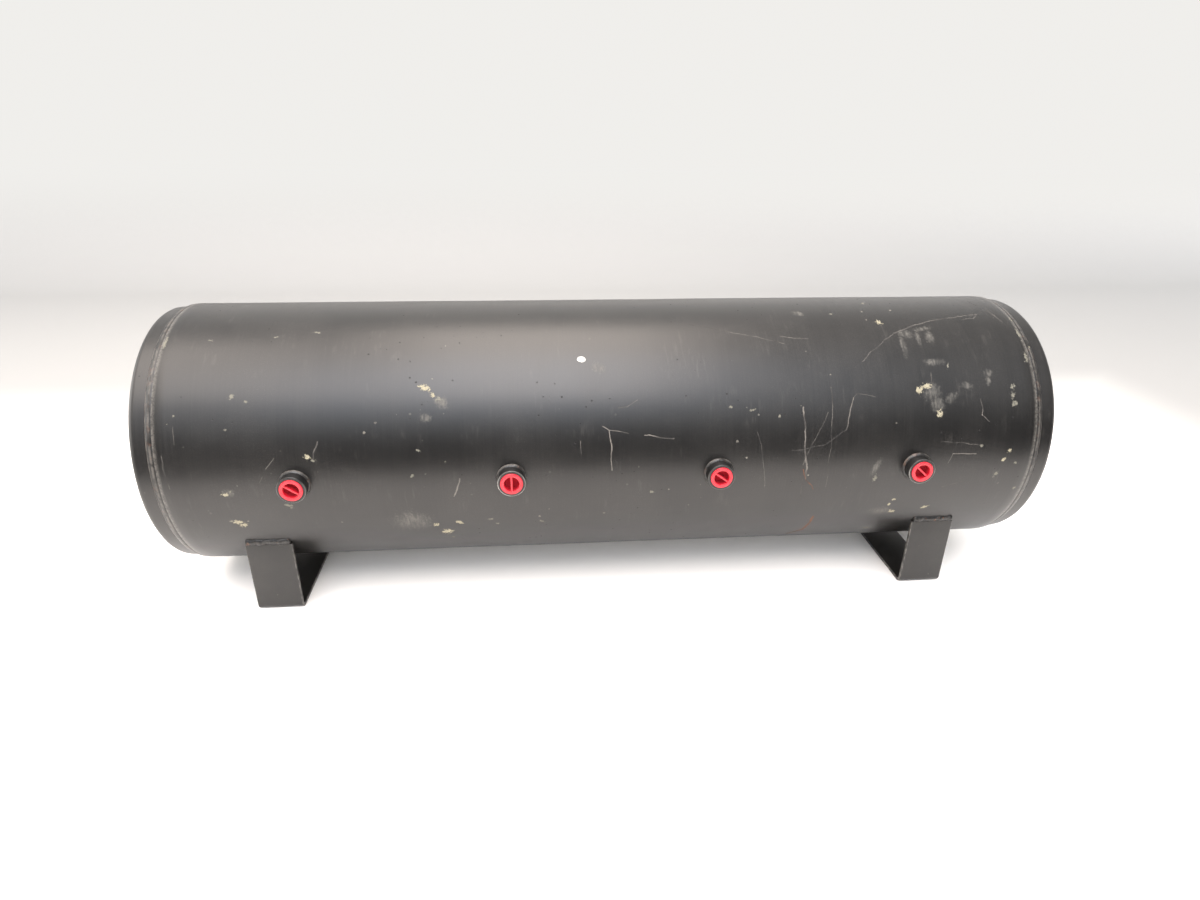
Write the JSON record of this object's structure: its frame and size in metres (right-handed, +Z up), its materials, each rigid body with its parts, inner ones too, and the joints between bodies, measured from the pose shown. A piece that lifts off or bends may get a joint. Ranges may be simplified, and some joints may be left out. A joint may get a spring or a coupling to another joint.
{
  "type": "horizontal pressure tank",
  "caption": "Long black steel pressure tank lying level, with dished ends, a row of plugged pipe sockets along one side and bent flat-bar feet; stores compressed air.",
  "frame": {"origin": "on the floor, at the bottom centre of the whole tank's bounding box", "axes": "+X along the tank, -Y the way the row of couplings faces, +Z up"},
  "size_m": [1.4326, 0.4254, 0.4352],
  "materials": {
    "tank_paint": "satin",
    "foot_paint": "satin",
    "weld_paint": "satin",
    "coupling_paint": "satin",
    "plug_plastic": "slightly glossy"
  },
  "bodies": {
    "root": {"shell": "tank_paint", "head_left": "tank_paint", "head_right": "tank_paint", "foot_left": "foot_paint", "foot_right": "foot_paint", "head_weld_left": "weld_paint", "head_weld_right": "weld_paint", "coupling_weld_1": "weld_paint", "coupling_weld_2": "weld_paint", "coupling_weld_3": "weld_paint", "coupling_weld_4": "weld_paint", "foot_left_weld_front": "weld_paint", "foot_left_weld_rear": "weld_paint", "foot_right_weld_front": "weld_paint", "foot_right_weld_rear": "weld_paint", "coupling_1": "coupling_paint", "coupling_2": "coupling_paint", "coupling_3": "coupling_paint", "coupling_4": "coupling_paint", "plug_1": "plug_plastic", "plug_2": "plug_plastic", "plug_3": "plug_plastic", "plug_4": "plug_plastic"}
  },
  "joints": []
}
